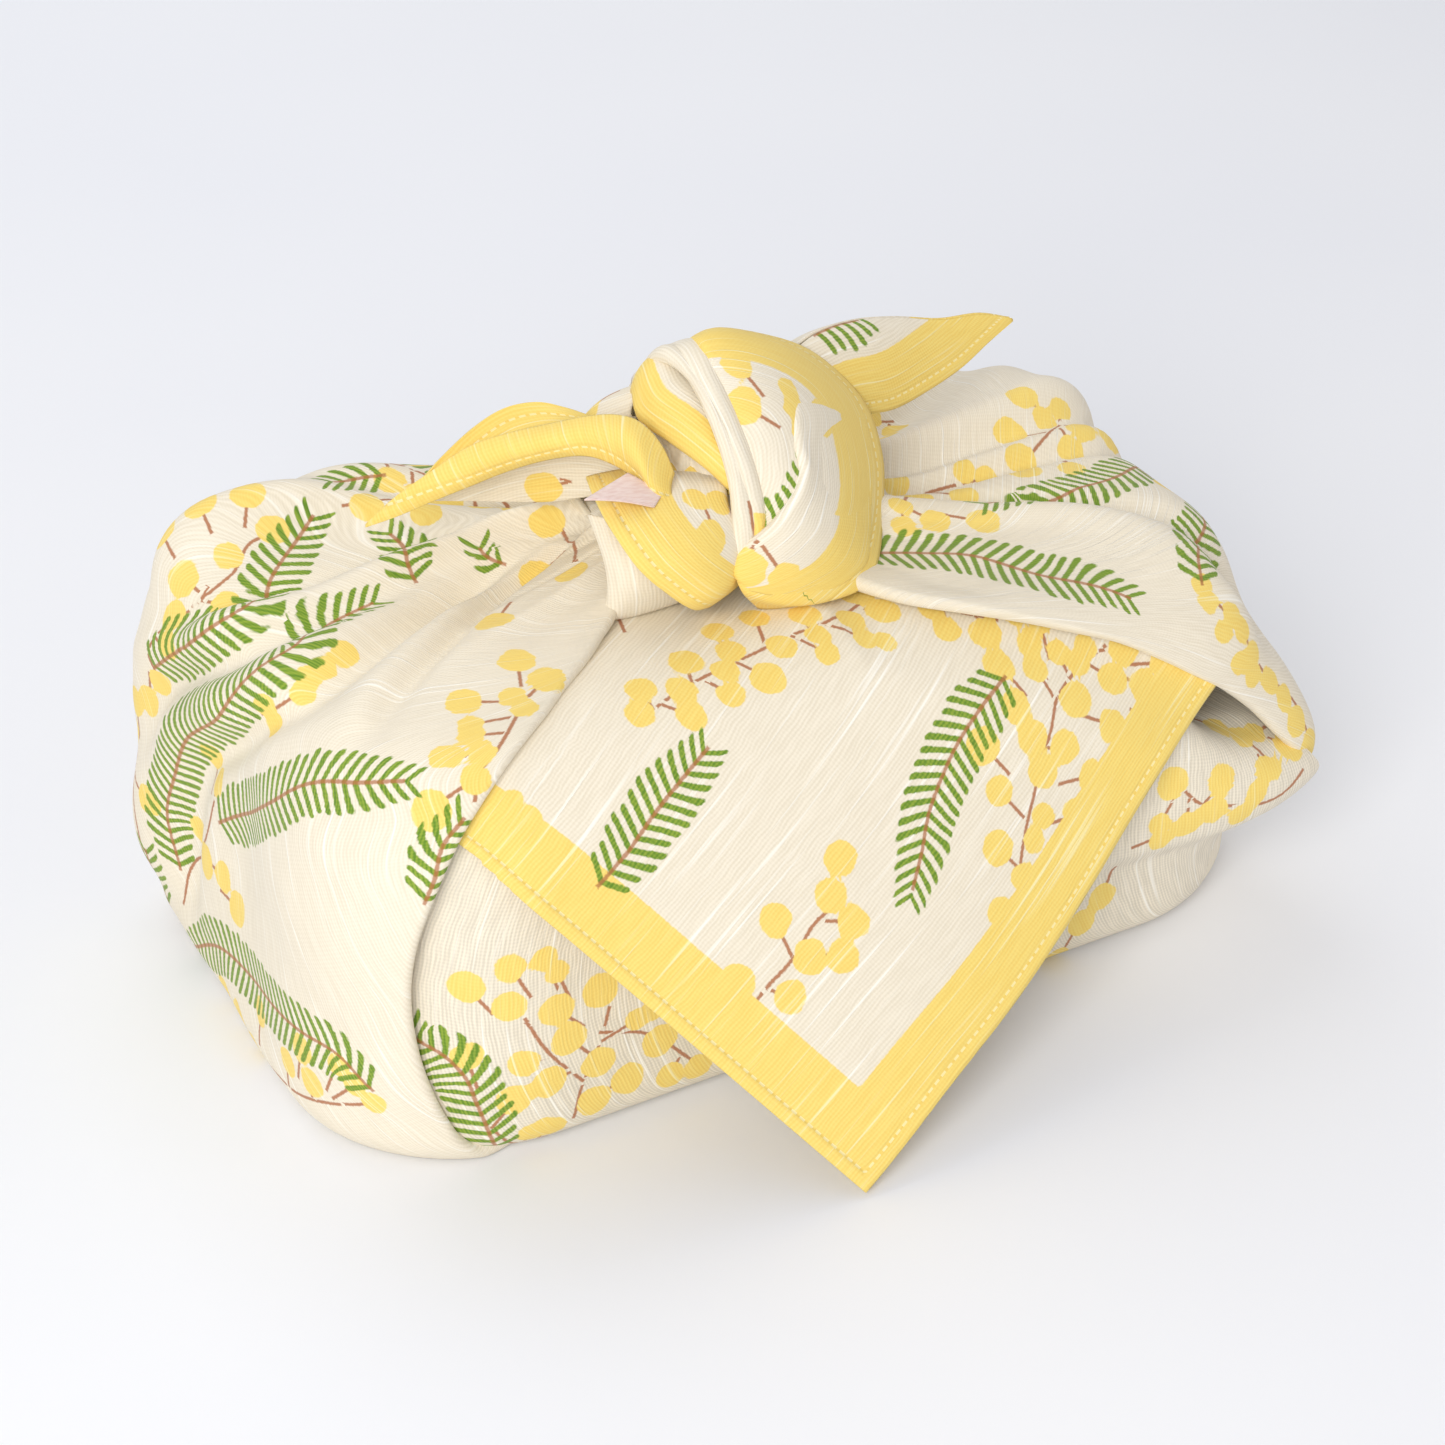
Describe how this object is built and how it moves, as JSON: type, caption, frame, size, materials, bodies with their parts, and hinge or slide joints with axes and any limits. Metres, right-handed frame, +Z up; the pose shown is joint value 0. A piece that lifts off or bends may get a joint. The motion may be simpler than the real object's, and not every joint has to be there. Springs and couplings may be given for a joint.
{
  "type": "furoshiki wrap",
  "caption": "Square cotton cloth wrapped round a box, with a hanging front flap and two corners gathered and tied in a square knot on top.",
  "frame": {"origin": "middle of the flat base on which the bundle rests", "axes": "+Z up, +X along the bundle's long side, -Y towards the hanging flap"},
  "size_m": [0.2593, 0.1994, 0.1551],
  "materials": {
    "printed_cotton": "slub woven cotton, printed",
    "label_ribbon": "smooth woven ribbon"
  },
  "bodies": {
    "root": {"cloth": "printed_cotton", "label": "label_ribbon"}
  },
  "joints": []
}
